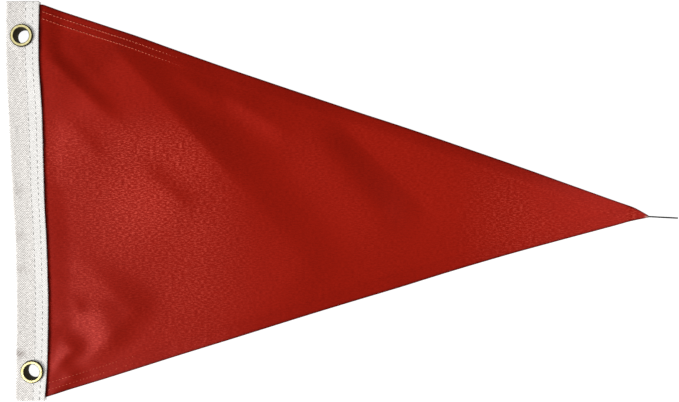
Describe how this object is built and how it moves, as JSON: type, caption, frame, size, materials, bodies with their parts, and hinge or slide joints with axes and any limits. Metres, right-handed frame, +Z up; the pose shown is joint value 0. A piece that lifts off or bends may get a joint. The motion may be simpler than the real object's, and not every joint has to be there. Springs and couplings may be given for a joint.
{
  "type": "pennant flag",
  "caption": "Triangular red nylon pennant flag with hemmed edges, a folded white canvas heading and brass grommets to lash it to a halyard.",
  "frame": {"origin": "on the surface the flag lies on, under the middle of its box", "axes": "+X along the fly towards the tip, +Y up the hoist, +Z up from the surface"},
  "size_m": [0.5128, 0.3034, 0.0094],
  "materials": {
    "red_nylon": "woven nylon with a soft satin sheen",
    "white_canvas": "plain-woven cotton canvas tape",
    "brass": "polished, slightly tarnished",
    "dark_thread": "twisted polyester sewing thread"
  },
  "bodies": {
    "root": {"pennant_cloth": "red_nylon", "heading": "white_canvas", "upper_grommet": "brass", "upper_washer": "brass", "lower_grommet": "brass", "lower_washer": "brass", "tip_thread": "dark_thread"}
  },
  "joints": []
}
